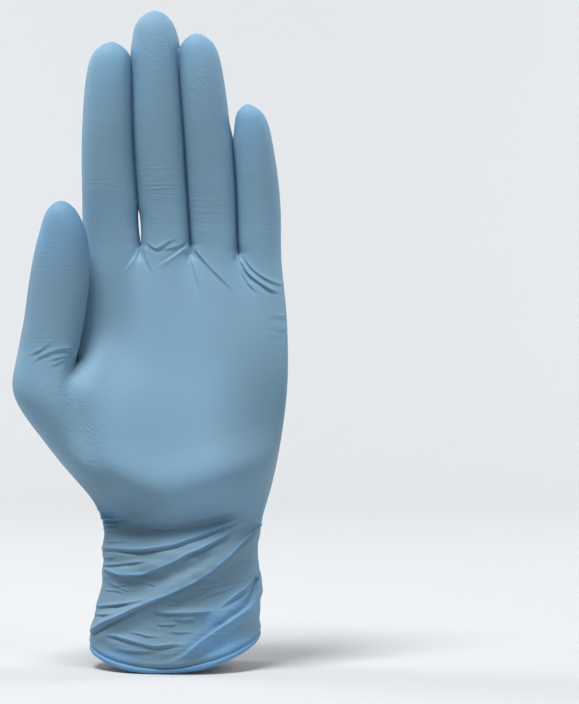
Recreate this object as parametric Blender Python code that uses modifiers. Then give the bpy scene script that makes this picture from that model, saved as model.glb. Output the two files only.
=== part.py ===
"""Nitrile exam glove, medium, for the left hand, in the shape it takes on a hand.

Lengths are in metres. +Z runs from the mouth of the cuff to the fingertips, the palm faces -Y and
the thumb lies towards -X. The origin is the middle of the mouth, where the wrist goes in, level
with the lowest point of the rolled bead.
"""

import math
from collections import namedtuple

import bmesh
import bpy
from mathutils import Vector

# Film and bead. The real film is 0.1 mm thick; here the wall is thick enough to be a solid, and it
# grows inwards, so the outside keeps its true size.
FILM_THICKNESS = 0.0010
BEAD_DIAMETER = 0.0026
SEAT_GAP = 0.0003

# Cuff, from the mouth to the wrist
CUFF_LENGTH = 0.0498
MOUTH_WIDTH = 0.0610
MOUTH_DEPTH = 0.0450
WRIST_WIDTH = 0.0556
WRIST_DEPTH = 0.0400
WRIST_SHIFT = 0.0022
FOLD_RISE = 0.0020

# Palm, from the wrist to the webs of the fingers
PALM_LENGTH = 0.1040
PALM_DEPTH = 0.0290
PALM_SHIFT = 0.0010
LITTLE_SWELL = 0.0030
INDEX_SWELL = 0.0028
THENAR_RISE = 0.0110
HEEL_RISE = 0.0065
BACK_RISE = 0.0020

# Digits: each length runs from the web to the tip
INDEX_LENGTH = 0.0730
INDEX_WIDTH = 0.0192
MIDDLE_LENGTH = 0.0838
MIDDLE_WIDTH = 0.0174
RING_LENGTH = 0.0773
RING_WIDTH = 0.0162
LITTLE_LENGTH = 0.0545
LITTLE_WIDTH = 0.0156
THUMB_LENGTH = 0.0575
THUMB_WIDTH = 0.0208
THUMB_HEIGHT = 0.0610
THUMB_FORWARD = 0.0135
THUMB_GAP = 0.0009
DIGIT_GAP = 0.0008
WEB_FRONT = 0.0030
WEB_BACK = 0.0090

# Fineness of the mesh
RING_SIDES = 8
CUFF_ROWS = 8
SUBDIVISIONS = 1
BEAD_POINTS = 40
BEAD_SIDES = 8

# A digit's root lies below the highest web by drop, and its middle line leaves the straight up by
# lean at the tip, bow in the middle and curl towards the palm at the tip, all as shares of the
# digit's length. Flatness is its depth as a share of its width.
Digit = namedtuple("Digit", "name length width flatness drop lean bow curl")
FINGERS = [
    Digit("index", INDEX_LENGTH, INDEX_WIDTH, 0.90, 0.00, -0.006, -0.027, 0.06),
    Digit("middle", MIDDLE_LENGTH, MIDDLE_WIDTH, 0.96, 0.00, -0.046, -0.012, 0.05),
    Digit("ring", RING_LENGTH, RING_WIDTH, 0.97, 0.02, -0.080, 0.015, 0.07),
    Digit("little", LITTLE_LENGTH, LITTLE_WIDTH, 0.94, 0.08, -0.082, 0.027, 0.10),
]
THUMB = Digit("thumb", THUMB_LENGTH, THUMB_WIDTH, 0.90, 0.00, 0.106, 0.027, 0.04)

# The rings of a digit: how far along it each lies, each digit's width there as a share of its own
# width, and the depth as a share of the digit's depth
Ring = namedtuple("Ring", "along index middle ring little thumb depth")
RINGS = [
    Ring(0.00, 1.00, 0.98, 0.97, 0.99, 1.08, 1.00),
    Ring(0.24, 1.05, 1.01, 1.04, 1.00, 1.00, 0.99),
    Ring(0.50, 0.97, 1.04, 1.03, 0.96, 1.03, 0.94),
    Ring(0.73, 0.91, 0.97, 0.98, 0.85, 0.90, 0.86),
    Ring(0.88, 0.74, 0.93, 0.83, 0.71, 0.67, 0.73),
    Ring(0.96, 0.48, 0.73, 0.56, 0.48, 0.47, 0.47),
]

# The sections of the hand between the wrist (height 0) and the thumb's web (height 1): how far the
# left and right edges and the shape have gone from the wrist's oval to the section at the web, and
# how much of the bulge at the thumb's root, at the heel and on the back each has
Section = namedtuple("Section", "height left right shape thenar heel back")
LOWER_HAND = [
    Section(0.17, 0.09, 0.31, 0.06, 0.06, 0.25, 0.20),
    Section(0.36, 0.44, 0.58, 0.22, 0.66, 1.00, 0.60),
    Section(0.58, 0.74, 0.80, 0.48, 1.00, 0.80, 1.00),
    Section(0.82, 1.09, 0.97, 0.82, 1.15, 0.40, 0.80),
]
# Where the two bulges of the palm lie across it, from -1 at the left edge to 1 at the right, and
# how far they spread
THENAR_PLACE = -0.55
THENAR_SPREAD = 0.38
HEEL_PLACE = 0.55
HEEL_SPREAD = 0.42

# The section halfway up the palm: how far its height, its width and its shape have gone from the
# thumb's web (0) to the finger roots (1)
KNUCKLE_HEIGHT = 0.52
KNUCKLE_WIDTH = 0.15
KNUCKLE_SHAPE = 0.40
# At the thumb's web the palm's corners stand this far from an oval's places towards the finger
# roots' places across, and this far from its curve towards a flat front and back
WEB_SPREAD = 0.70
WEB_FLATNESS = 0.45

# How the mouth's edge climbs from its lowest point, at the front, as shares of the cuff's length
MOUTH_BACK = 0.080
MOUTH_TILT = 0.045
MOUTH_SIDES = 0.095
# The share of the cuff's length over which it flares from the wrist's size to the mouth's
CUFF_TAPER = 0.72

# The folds of the loose cuff. Each runs from left to right across the cuff, places from -1 to 1
# as shares of its half width; low and high are the heights of its two ends as shares of the cuff's
# length, and its middle sags below the straight line. Width is a share of the cuff's length, rise
# of the largest fold's, and back is how much of it goes on round the back of the cuff.
Fold = namedtuple("Fold", "left right low high sag width rise back")
FOLDS = [
    Fold(-1.30, 0.95, 0.81, 1.10, 0.050, 0.075, 0.75, 0.3),
    Fold(-1.30, 0.85, 0.68, 1.02, 0.080, 0.070, 0.75, 0.2),
    Fold(-1.30, 1.30, 0.15, 1.09, 0.010, 0.085, 1.00, 0.2),
    Fold(-0.40, 1.30, 0.04, 0.76, 0.130, 0.085, 1.00, 0.5),
    Fold(0.35, 1.30, 0.34, 0.90, 0.070, 0.065, 0.60, 0.5),
    Fold(-0.38, 0.66, 0.48, 0.44, 0.035, 0.060, 0.45, 0.0),
    Fold(-1.20, 0.05, 0.22, 0.19, 0.000, 0.060, 0.50, 0.0),
]
BACK_FOLDS = [
    Fold(-1.20, 0.90, 0.92, 0.74, 0.060, 0.080, 0.80, 1.0),
    Fold(-0.80, 1.20, 0.74, 0.42, 0.050, 0.080, 0.80, 1.0),
    Fold(-1.20, 0.60, 0.50, 0.34, 0.060, 0.070, 0.60, 1.0),
]
# A fold falls off this much faster below its line than above it
FOLD_UNDERCUT = 0.6
# The share of a fold's run over which it rises at each end, and the share of the cuff's length over
# which all folds rise from the film's edge
FOLD_FADE = 0.20
EDGE_FADE = 0.12

# The share of its own place that the middle corner of four faces keeps once it is subdivided
TIP_KEEPS = 4 / 9


def mix(a, b, share):
    return a + (b - a) * share


def smooth(share):
    share = min(max(share, 0.0), 1.0)
    return share * share * (3 - 2 * share)


def shrink(sides):
    """The share of its size that a ring with this many corners keeps once it is subdivided."""
    return (2 + math.cos(math.tau / sides)) / 3


def knuckle_width():
    return sum(finger.width for finger in FINGERS) + DIGIT_GAP * (len(FINGERS) - 1)


def palm_middle():
    return WRIST_SHIFT + PALM_SHIFT


def web_height():
    return CUFF_LENGTH + PALM_LENGTH


def thumb_web_height():
    return CUFF_LENGTH + THUMB_HEIGHT


def palm_span():
    """The middle and half the width of the palm at the thumb's web, where both its sides swell past
    the knuckles."""
    left = palm_middle() - knuckle_width() / 2 - INDEX_SWELL
    right = palm_middle() + knuckle_width() / 2 + LITTLE_SWELL
    return (left + right) / 2, (right - left) / 2


def finger_root(number):
    """The middle of a finger's root, counted from the index finger."""
    passed = sum(finger.width + DIGIT_GAP for finger in FINGERS[:number])
    finger = FINGERS[number]
    x = palm_middle() - knuckle_width() / 2 + passed + finger.width / 2
    return Vector((x, 0, web_height() - finger.drop * finger.length))


def thumb_root():
    middle, half_width = palm_span()
    x = middle - half_width - THUMB_GAP - THUMB_WIDTH / 2
    return Vector((x, -THUMB_FORWARD, thumb_web_height()))


def oval(middle, half_width, half_depth, count):
    """Corners evenly round an oval, from the left side round the front to the right and back."""
    turns = [math.tau * n / count for n in range(count)]
    return [
        middle + Vector((-math.cos(turn) * half_width, -math.sin(turn) * half_depth, 0))
        for turn in turns
    ]


def digit_middle(digit, root, along):
    side = digit.lean * along + digit.bow * 4 * along * (1 - along)
    forward = digit.curl * along * along
    return root + Vector((side, -forward, along)) * digit.length


def digit_ring(digit, root, ring):
    """The corners of one ring of a digit, outside the surface by as much as it shrinks."""
    half_width = digit.width / 2 * getattr(ring, digit.name) / shrink(RING_SIDES)
    half_depth = digit.width / 2 * digit.flatness * ring.depth / shrink(RING_SIDES)
    return oval(digit_middle(digit, root, ring.along), half_width, half_depth, RING_SIDES)


def root_ring(digit, root):
    """The ring at a digit's root, whose front and back lie lower than its web."""
    corners = digit_ring(digit, root, RINGS[0])
    for side in (corners[0], corners[RING_SIDES // 2]):
        side.x = mix(root.x, side.x, shrink(RING_SIDES))
    for n, corner in enumerate(corners):
        front = math.sin(math.tau * n / RING_SIDES)
        corner.z -= WEB_FRONT * max(front, 0) + WEB_BACK * max(-front, 0)
    return corners


def palm_corners(rings):
    """The corners of the palm's edge, out of the finger rings: the left side, each finger's front,
    the right side, and each finger's back."""
    front = [corner for ring in rings for corner in ring[1:4]]
    back = [corner for ring in reversed(rings) for corner in ring[5:8]]
    return [rings[0][0], *front, rings[-1][4], *back]


def thumb_web_ring(roots):
    """The palm's section at the thumb's web, flatter in front and behind than an oval."""
    palm, half_width = palm_span()
    middle = Vector((palm, 0, thumb_web_height()))
    even = oval(middle, half_width, PALM_DEPTH / 2, len(roots))
    ring = []
    for corner, root in zip(even, roots):
        across = (root.x - palm_middle()) / (knuckle_width() / 2)
        depth = PALM_DEPTH / 2 * ((root.y > 0) - (root.y < 0))
        x = mix(corner.x, middle.x + across * half_width, WEB_SPREAD)
        ring.append(Vector((x, mix(corner.y, depth, WEB_FLATNESS), middle.z)))
    return ring


def knuckle_ring(web_ring, roots):
    """The section halfway between the thumb's web and the finger roots."""
    return [
        Vector(
            (
                mix(low.x, high.x, KNUCKLE_WIDTH),
                mix(low.y, high.y, KNUCKLE_SHAPE),
                mix(low.z, high.z, KNUCKLE_HEIGHT),
            )
        )
        for low, high in zip(web_ring, roots)
    ]


def span(ring):
    """The middle and the half width of a ring."""
    left = min(corner.x for corner in ring)
    right = max(corner.x for corner in ring)
    return (left + right) / 2, (right - left) / 2


def bulge(across, place, spread):
    return math.exp(-(((across - place) / spread) ** 2))


def lower_hand(wrist_ring, web_ring):
    """The sections from the wrist to the thumb's web."""
    wrist_middle, wrist_half = span(wrist_ring)
    web_middle, web_half = span(web_ring)
    rows = []
    for row in LOWER_HAND:
        left = mix(wrist_middle - wrist_half, web_middle - web_half, row.left)
        right = mix(wrist_middle + wrist_half, web_middle + web_half, row.right)
        ring = []
        for low, high in zip(wrist_ring, web_ring):
            across = mix(
                (low.x - wrist_middle) / wrist_half,
                (high.x - web_middle) / web_half,
                row.shape,
            )
            x = mix(left, right, (across + 1) / 2)
            y = mix(low.y, high.y, row.shape)
            z = mix(low.z, high.z, row.height)
            facing = low.y / (WRIST_DEPTH / 2)
            if facing < 0:
                y += facing * THENAR_RISE * row.thenar * bulge(across, THENAR_PLACE, THENAR_SPREAD)
                y += facing * HEEL_RISE * row.heel * bulge(across, HEEL_PLACE, HEEL_SPREAD)
            else:
                y += facing * BACK_RISE * row.back
            ring.append(Vector((x, y, z)))
        rows.append(ring)
    return rows


def mouth_climb(x, y):
    """How far the mouth's edge has climbed from its lowest point, at the front."""
    side = x / (MOUTH_WIDTH / 2)
    front = -y / (MOUTH_DEPTH / 2)
    return CUFF_LENGTH * (MOUTH_BACK * (1 - front) + MOUTH_TILT * side + MOUTH_SIDES * side * side)


def film_edge(x, y):
    """The height of the film's edge, seated on the bead."""
    return BEAD_DIAMETER + SEAT_GAP + mouth_climb(x, y)


def cuff(wrist_ring):
    """The sections from the mouth up to the wrist."""
    count = len(wrist_ring)
    swell = 1 / shrink(count)
    mouth = oval(Vector(), MOUTH_WIDTH / 2 * swell, MOUTH_DEPTH / 2 * swell, count)
    rows = []
    for number in range(CUFF_ROWS):
        share = number / CUFF_ROWS
        taper = smooth(share / CUFF_TAPER)
        ring = []
        for low, high in zip(mouth, wrist_ring):
            x = mix(low.x, high.x, taper)
            y = mix(low.y, high.y, taper)
            ring.append(Vector((x, y, mix(film_edge(low.x, low.y), high.z, share))))
        rows.append(ring)
    return rows + [wrist_ring]


def join_rings(mesh, lower, upper):
    """A row of faces between two rings with the same number of corners."""
    count = len(lower)
    for n in range(count):
        after = (n + 1) % count
        mesh.faces.new((lower[n], lower[after], upper[after], upper[n]))


def add_corners(mesh, places):
    return [mesh.verts.new(place) for place in places]


def close_tip(mesh, digit, root, ring):
    """Four faces round a middle corner, which close a digit above its last ring."""
    last = RINGS[-1].along
    along = last + (1 - last) / TIP_KEEPS
    tip = mesh.verts.new(digit_middle(digit, root, along))
    for n in range(0, RING_SIDES, 2):
        mesh.faces.new((ring[n], ring[n + 1], ring[(n + 2) % RING_SIDES], tip))


def add_digit(mesh, digit, root, first):
    """A digit's rings above its root, and its closed tip."""
    below = first
    for row in RINGS[1:]:
        ring = add_corners(mesh, digit_ring(digit, root, row))
        join_rings(mesh, below, ring)
        below = ring
    close_tip(mesh, digit, root, below)


def add_hand(mesh):
    """The fingers and the upper palm. Returns the corners of the palm's edge at the thumb's web."""
    places = [finger_root(number) for number in range(len(FINGERS))]
    rings = [
        add_corners(mesh, root_ring(finger, place)) for finger, place in zip(FINGERS, places)
    ]
    for finger, place, ring in zip(FINGERS, places, rings):
        add_digit(mesh, finger, place, ring)
    for left, right in zip(rings, rings[1:]):
        mesh.faces.new((left[3], right[1], right[0], left[4]))
        mesh.faces.new((left[4], right[0], right[7], left[5]))
    top = palm_corners(rings)
    roots = [corner.co for corner in top]
    web_places = thumb_web_ring(roots)
    knuckles = add_corners(mesh, knuckle_ring(web_places, roots))
    web = add_corners(mesh, web_places)
    join_rings(mesh, knuckles, top)
    join_rings(mesh, web, knuckles)
    return web


def add_thumb(mesh, palm):
    """The thumb and its web. Returns the corners round the thumb and the palm together."""
    place = thumb_root()
    ring = add_corners(mesh, root_ring(THUMB, place))
    add_digit(mesh, THUMB, place, ring)
    mesh.faces.new((ring[3], palm[1], palm[0], ring[4]))
    mesh.faces.new((ring[4], palm[0], palm[-1], ring[5]))
    return [*ring[:4], *palm[1:], *ring[5:]]


def add_wrist_and_cuff(mesh, web):
    """Everything below the thumb's web, down to the open mouth."""
    swell = 1 / shrink(len(web))
    middle = Vector((WRIST_SHIFT, 0, CUFF_LENGTH))
    wrist = oval(middle, WRIST_WIDTH / 2 * swell, WRIST_DEPTH / 2 * swell, len(web))
    sections = cuff(wrist) + lower_hand(wrist, [corner.co for corner in web])
    rows = [add_corners(mesh, section) for section in sections] + [web]
    for lower, upper in zip(rows, rows[1:]):
        join_rings(mesh, lower, upper)


def fold_lift(fold, across, share):
    """How far one fold lifts the film at a place across the cuff and a share of its length."""
    along = (across - fold.left) / (fold.right - fold.left)
    if not 0 < along < 1:
        return 0.0
    line = mix(fold.low, fold.high, along) - fold.sag * 4 * along * (1 - along)
    distance = (share - line) / fold.width
    if distance < 0:
        distance /= FOLD_UNDERCUT
    fade = smooth(along / FOLD_FADE) * smooth((1 - along) / FOLD_FADE)
    return fold.rise * fade * math.exp(-distance * distance)


def cuff_lift(place):
    """How far all the folds together lift the film at this place."""
    share = place.z / CUFF_LENGTH
    across = (place.x - WRIST_SHIFT * share) / mix(MOUTH_WIDTH / 2, WRIST_WIDTH / 2, share)
    across = min(max(across, -1.0), 1.0)
    behind = smooth((place.y / (WRIST_DEPTH / 2) + 1) / 2)
    lift = sum(fold_lift(fold, across, share) * mix(1, fold.back, behind) for fold in FOLDS)
    lift += sum(fold_lift(fold, across, share) for fold in BACK_FOLDS) * behind
    above_edge = (place.z - film_edge(place.x, place.y)) / CUFF_LENGTH
    return FOLD_RISE * lift * smooth(above_edge / EDGE_FADE)


def raise_folds(mesh):
    """Lifts the cuff's surface into its folds."""
    places = [
        vertex.co + vertex.normal * cuff_lift(vertex.co)
        for vertex in mesh.vertices
    ]
    for vertex, place in zip(mesh.vertices, places):
        vertex.co = place


def material(name, colour, roughness):
    made = bpy.data.materials.new(name)
    made.use_nodes = True
    shader = made.node_tree.nodes["Principled BSDF"]
    shader.inputs["Base Color"].default_value = (*colour, 1)
    shader.inputs["Roughness"].default_value = roughness
    shader.inputs["Metallic"].default_value = 0
    made.diffuse_color = (*colour, 1)
    return made


def evaluated_mesh(obj):
    bpy.context.view_layer.update()
    graph = bpy.context.evaluated_depsgraph_get()
    return bpy.data.meshes.new_from_object(obj.evaluated_get(graph))


def make_film(collection):
    """The dipped film: cuff, palm and digits in one skin with an open mouth."""
    mesh = bmesh.new()
    add_wrist_and_cuff(mesh, add_thumb(mesh, add_hand(mesh)))
    bmesh.ops.recalc_face_normals(mesh, faces=mesh.faces)
    data = bpy.data.meshes.new("glove_film")
    mesh.to_mesh(data)
    mesh.free()
    film = bpy.data.objects.new("glove_film", data)
    collection.objects.link(film)
    skin = film.modifiers.new("Smooth skin", "SUBSURF")
    skin.levels = skin.render_levels = SUBDIVISIONS
    film.data = evaluated_mesh(film)
    film.modifiers.clear()
    raise_folds(film.data)
    film.data.shade_smooth()
    wall = film.modifiers.new("Wall", "SOLIDIFY")
    wall.thickness = FILM_THICKNESS
    wall.offset = -1
    film.data.materials.append(material("nitrile film", (0.20, 0.34, 0.46), 0.55))
    return film


def make_bead(collection):
    """The rolled bead round the mouth, under the middle of the film's wall."""
    half_width = (MOUTH_WIDTH - FILM_THICKNESS) / 2
    half_depth = (MOUTH_DEPTH - FILM_THICKNESS) / 2
    curve = bpy.data.curves.new("rolled_bead", "CURVE")
    curve.dimensions = "3D"
    curve.bevel_depth = BEAD_DIAMETER / 2
    curve.bevel_resolution = (BEAD_SIDES - 4) // 2
    line = curve.splines.new("POLY")
    line.points.add(BEAD_POINTS - 1)
    line.use_cyclic_u = True
    line.use_smooth = True
    for point, place in zip(line.points, oval(Vector(), half_width, half_depth, BEAD_POINTS)):
        height = BEAD_DIAMETER / 2 + mouth_climb(place.x, place.y)
        point.co = (place.x, place.y, height, 1)
    bead = bpy.data.objects.new("rolled_bead", curve)
    collection.objects.link(bead)
    curve.materials.append(material("rolled nitrile", (0.16, 0.33, 0.50), 0.50))
    return bead


def main():
    for obj in list(bpy.data.objects):
        bpy.data.objects.remove(obj)
    collection = bpy.data.collections.new("nitrile_exam_glove")
    bpy.context.scene.collection.children.link(collection)
    make_film(collection)
    make_bead(collection)


main()
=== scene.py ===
# %% [markdown]
# # A nitrile exam glove for the left hand
# The glove is one dipped film with a thin rolled edge. It keeps the form of an open hand, palm to the
# viewer, with the fingers up and the mouth at the floor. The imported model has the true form, as a skin
# 1 mm thick made of triangles. This lesson dresses it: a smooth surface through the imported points, the
# folds of the loose cuff and the tucks of the stretched palm, a rolled bead, two finishes, soft light
# and a camera.

# %% Load the frame
import math
from collections import namedtuple

import bmesh
import bpy
import numpy as np
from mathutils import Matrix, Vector
from mathutils.bvhtree import BVHTree


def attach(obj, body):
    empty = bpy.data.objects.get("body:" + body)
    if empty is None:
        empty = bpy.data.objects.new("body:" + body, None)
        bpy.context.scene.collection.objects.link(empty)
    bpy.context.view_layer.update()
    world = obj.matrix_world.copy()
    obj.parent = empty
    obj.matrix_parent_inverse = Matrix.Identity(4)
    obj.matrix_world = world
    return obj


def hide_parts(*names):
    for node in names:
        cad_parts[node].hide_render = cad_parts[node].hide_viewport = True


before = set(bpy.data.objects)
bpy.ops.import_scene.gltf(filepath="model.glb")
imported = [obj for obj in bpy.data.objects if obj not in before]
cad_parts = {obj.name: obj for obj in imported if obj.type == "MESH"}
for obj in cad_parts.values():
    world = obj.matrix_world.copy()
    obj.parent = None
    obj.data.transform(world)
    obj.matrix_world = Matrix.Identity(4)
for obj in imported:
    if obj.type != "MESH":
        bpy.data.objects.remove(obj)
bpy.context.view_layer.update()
MM = 0.001

# %% [markdown]
# ## The film's outer face
# The real film is a tenth of a millimetre thick, and its outer face is what is seen. It could be modelled
# afresh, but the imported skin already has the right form. So its inner face and its rim come off, and the
# triangles of the outer face are paired back into four-sided faces, which a subdivision surface needs.

# %% The outer face in quads
WELD = 0.001 * MM
RIM_TOP = 20 * MM
RIM_FACING = -0.8


def new_object(name, mesh):
    """Puts a mesh into the scene as an object."""
    item = bpy.data.objects.new(name, mesh)
    bpy.context.scene.collection.objects.link(item)
    return item


def connected(faces):
    """Splits faces into groups that share edges."""
    left, groups = set(faces), []
    while left:
        group, waiting = [], [left.pop()]
        while waiting:
            face = waiting.pop()
            group.append(face)
            for edge in face.edges:
                for other in edge.link_faces:
                    if other in left:
                        left.remove(other)
                        waiting.append(other)
        groups.append(group)
    return groups


def group_width(group):
    across = [vertex.co.x for face in group for vertex in face.verts]
    return max(across) - min(across)


def outer_face(node):
    """The outer face of a thin packed skin, as four-sided faces."""
    skin = bmesh.new()
    skin.from_mesh(node.data)
    bmesh.ops.remove_doubles(skin, verts=skin.verts, dist=WELD)
    rim = [
        face
        for face in skin.faces
        if face.normal.z < RIM_FACING and face.calc_center_median().z < RIM_TOP
    ]
    bmesh.ops.delete(skin, geom=rim, context="FACES")
    kept = set(max(connected(skin.faces), key=group_width))
    bmesh.ops.delete(skin, geom=[face for face in skin.faces if face not in kept], context="FACES")
    bmesh.ops.join_triangles(
        skin,
        faces=skin.faces,
        angle_face_threshold=math.pi,
        angle_shape_threshold=math.pi,
        topology_influence=1.0,
    )
    mesh = bpy.data.meshes.new("film_outer_face")
    skin.to_mesh(mesh)
    skin.free()
    return mesh


def not_four_sided(mesh):
    return sum(len(polygon.vertices) != 4 for polygon in mesh.polygons)


coarse = new_object("film_outer_face", outer_face(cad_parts["glove_film"]))
print("outer face:", len(coarse.data.polygons), "faces,", not_four_sided(coarse.data), "not four-sided")

# %% [markdown]
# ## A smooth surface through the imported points
# A stretched film has no flat facets. A subdivision surface would round them off, but it runs inside its
# control points, and the glove would come out thin. So each point is first pushed out by what the surface
# misses it by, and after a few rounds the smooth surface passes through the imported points.

# %% Smooth surface
FIT_ROUNDS = 4
WORK_LEVEL, FINEST_LEVEL = 1, 3


def positions(mesh):
    flat = np.empty(len(mesh.vertices) * 3)
    mesh.vertices.foreach_get("co", flat)
    return flat.reshape(-1, 3)


def set_positions(mesh, places):
    mesh.vertices.foreach_set("co", places.ravel())
    mesh.update()


def subdivided(item, level):
    """The item's mesh, subdivided that many times."""
    modifier = item.modifiers.new("smooth", "SUBSURF")
    modifier.levels = level
    modifier.render_levels = level
    evaluated = item.evaluated_get(bpy.context.evaluated_depsgraph_get())
    mesh = bpy.data.meshes.new_from_object(evaluated)
    item.modifiers.remove(modifier)
    return mesh


packed_points = positions(coarse.data)
control_points = packed_points.copy()
for _ in range(FIT_ROUNDS):
    set_positions(coarse.data, control_points)
    trial = subdivided(coarse, WORK_LEVEL)
    miss = packed_points - positions(trial)[: len(packed_points)]
    control_points += miss
    bpy.data.meshes.remove(trial)
    print("largest miss, mm:", round(float(np.abs(miss).max()) / MM, 3))
set_positions(coarse.data, control_points)
film_mesh = subdivided(coarse, WORK_LEVEL)
inner_mesh = film_mesh.copy()
finest_mesh = subdivided(coarse, FINEST_LEVEL)

# %% [markdown]
# ## Closer rows where the film folds
# The gathers of the cuff are crests half a millimetre wide. Cutting the whole glove that finely would
# cost far too many faces. The crests run mostly round the cuff, so only the rows there are made close. A
# row is a ring of side-by-side edges, and it is cut into as many as its zone asks for.

# %% Rows
CUFF_TOP = 58 * MM
PALM_TOP = 132 * MM
CUFF_ROW = 0.36 * MM
PALM_ROW = 1.15 * MM
DIGIT_ROW = 1.10 * MM
# An edge counts as upright where it climbs by more than this share of its length
UPRIGHT = 0.55
print("row heights, mm:", [round(row / MM, 2) for row in (CUFF_ROW, PALM_ROW, DIGIT_ROW)])


# %% Cut the rows
def edge_ring(seed):
    """The ring of edges that lie side by side with this one, in the order of their numbers."""
    ring, waiting = {seed}, [seed]
    while waiting:
        edge = waiting.pop()
        for face in edge.link_faces:
            loop = next(corner for corner in face.loops if corner.edge == edge)
            opposite = loop.link_loop_next.link_loop_next.edge
            if opposite not in ring:
                ring.add(opposite)
                waiting.append(opposite)
    return sorted(ring, key=lambda edge: edge.index)


def climb(edge):
    return abs(edge.verts[0].co.z - edge.verts[1].co.z)


def middle_height(edge):
    return (edge.verts[0].co.z + edge.verts[1].co.z) / 2


def row_target(height):
    if height < CUFF_TOP:
        return CUFF_ROW
    return PALM_ROW if height < PALM_TOP else DIGIT_ROW


def upright_rings(work):
    """The edges to cut, by their number of cuts, so that each row is as high as its zone asks for."""
    seen, by_cuts = set(), {}
    for edge in work.edges:
        if edge in seen:
            continue
        ring = edge_ring(edge)
        seen.update(ring)
        length = sum(item.calc_length() for item in ring)
        if sum(climb(item) for item in ring) < UPRIGHT * length:
            continue
        height = sum(middle_height(item) for item in ring) / len(ring)
        cuts = math.ceil(length / len(ring) / row_target(height)) - 1
        if cuts > 0:
            by_cuts.setdefault(cuts, []).extend(ring)
    return by_cuts


def cut_edges(mesh, choose):
    """Cuts the edges that `choose` finds, each into as many as it says."""
    work = bmesh.new()
    work.from_mesh(mesh)
    work.normal_update()
    for cuts, edges in choose(work).items():
        bmesh.ops.subdivide_edges(work, edges=edges, cuts=cuts, use_grid_fill=True)
    work.to_mesh(mesh)
    work.free()


cut_edges(film_mesh, upright_rings)
print("rows cut:", len(film_mesh.polygons), "faces")

# %% [markdown]
# ## Finer patches
# Rows alone are too coarse across the glove in three places: on the front of the cuff, where the long
# folds slant, where the fingers part, and at the thumb's base. The faces there are cut across too, and
# then all the points are set onto the finest smooth surface, so that no cut leaves a flat spot.

# %% Patches
FRONT_MARGIN = 0.25
Zone = namedtuple("Zone", "left right low high")
WEB_ZONES = (Zone(-22, 43, 130, 158), Zone(-58, -33, 103, 123))
WEB_CUTS = 2


def level_front_edges(work):
    """The level edges of the cuff's front, to be halved."""
    level = []
    for edge in work.edges:
        facing = (edge.verts[0].normal.y + edge.verts[1].normal.y) / 2
        flat = climb(edge) < UPRIGHT * edge.calc_length()
        if flat and middle_height(edge) < CUFF_TOP and facing < FRONT_MARGIN:
            level.append(edge)
    return {1: level}


def web_edges(work):
    """The edges of the palm's side where the fingers part, and at the thumb's base."""
    chosen = set()
    for face in work.faces:
        x, _, z = face.calc_center_median() / MM
        if face.normal.y < 0 and any(
            zone.left < x < zone.right and zone.low < z < zone.high for zone in WEB_ZONES
        ):
            chosen.update(face.edges)
    return {WEB_CUTS: [edge for edge in work.edges if edge in chosen]}


cut_edges(film_mesh, level_front_edges)
cut_edges(film_mesh, web_edges)
finest = BVHTree.FromPolygons(
    [vertex.co for vertex in finest_mesh.vertices],
    [tuple(polygon.vertices) for polygon in finest_mesh.polygons],
)
smooth_points = np.array([finest.find_nearest(vertex.co)[0] for vertex in film_mesh.vertices])
set_positions(film_mesh, smooth_points)
print("patches cut:", len(film_mesh.polygons), "faces,", not_four_sided(film_mesh), "not four-sided")

# %% [markdown]
# ## Soft steps, and places as seen from the front
# The folds and the looks are placed on an upright plane through the middle of the glove, in millimetres
# across from the cuff's middle and up from the floor, as they are seen from in front at arm's length.
# They could be placed round the hand instead, but a flat sheet is far easier to read and to correct.
# `ease` is the soft step that every fade in this file uses.

# %% Places
EYE = np.array([41.4, -900.0, 114.2]) * MM


def ease(value, start, end):
    """A soft step: 0 at start, 1 at end, level at both."""
    share = np.clip((value - start) / (end - start), 0.0, 1.0)
    return share * share * (3.0 - 2.0 * share)


def seen_from_front(points):
    """Across and up, in mm, on the middle plane, for points as seen from the eye."""
    scale = EYE[1] / (EYE[1] - points[:, 1])
    across = EYE[0] + (points[:, 0] - EYE[0]) * scale
    up = EYE[2] + (points[:, 2] - EYE[2]) * scale
    return across / MM, up / MM


seen_size = [round(float(np.ptp(values)), 1) for values in seen_from_front(smooth_points)]
print("seen from the front, across and up, mm:", seen_size)

# %% [markdown]
# ## Blunt fingertips
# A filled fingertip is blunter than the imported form, so the film there is widened, most of all just below
# the tip. Scaling the tips would also move their sides into the neighbouring fingers, so each finger is
# widened about its own middle, and a line between neighbours keeps them apart. The thumb leans a little
# closer to the hand.

# %% Fingertips
Tip = namedtuple("Tip", "across up widen lower")
# A line between two neighbouring fingers: across at 190 mm up, and its drift for each mm further up
Split = namedtuple("Split", "across drift")

TIPS = (
    Tip(-22.9, 227.0, 1.20, 0.45),
    Tip(-7.4, 237.6, 0.55, 0.0),
    Tip(7.6, 230.0, 1.15, 0.35),
    Tip(26.0, 204.0, 0.85, 0.30),
)
SPLITS = (
    Split(-45.0, 0.0),
    Split(-15.3, -0.029),
    Split(3.0, -0.043),
    Split(21.2, -0.080),
    Split(50.0, 0.0),
)
SPLIT_LEVEL = 190.0
TIP_REACH = 14.0
TIP_ROUNDING = 1.2
TIP_HALF = 5.0
LOWER_REACH = 3.0
THUMB_MIDDLE = (-42.6, -13.6)
THUMB_HALVES = (10.3, 8.0)
THUMB_EDGE = (1.10, 1.25)
THUMB_MOVE = 0.65
THUMB_WIDEN = 0.035
THUMB_LOW, THUMB_FULL, THUMB_CALM, THUMB_TOP = 108.0, 122.0, 156.0, 168.0


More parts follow.
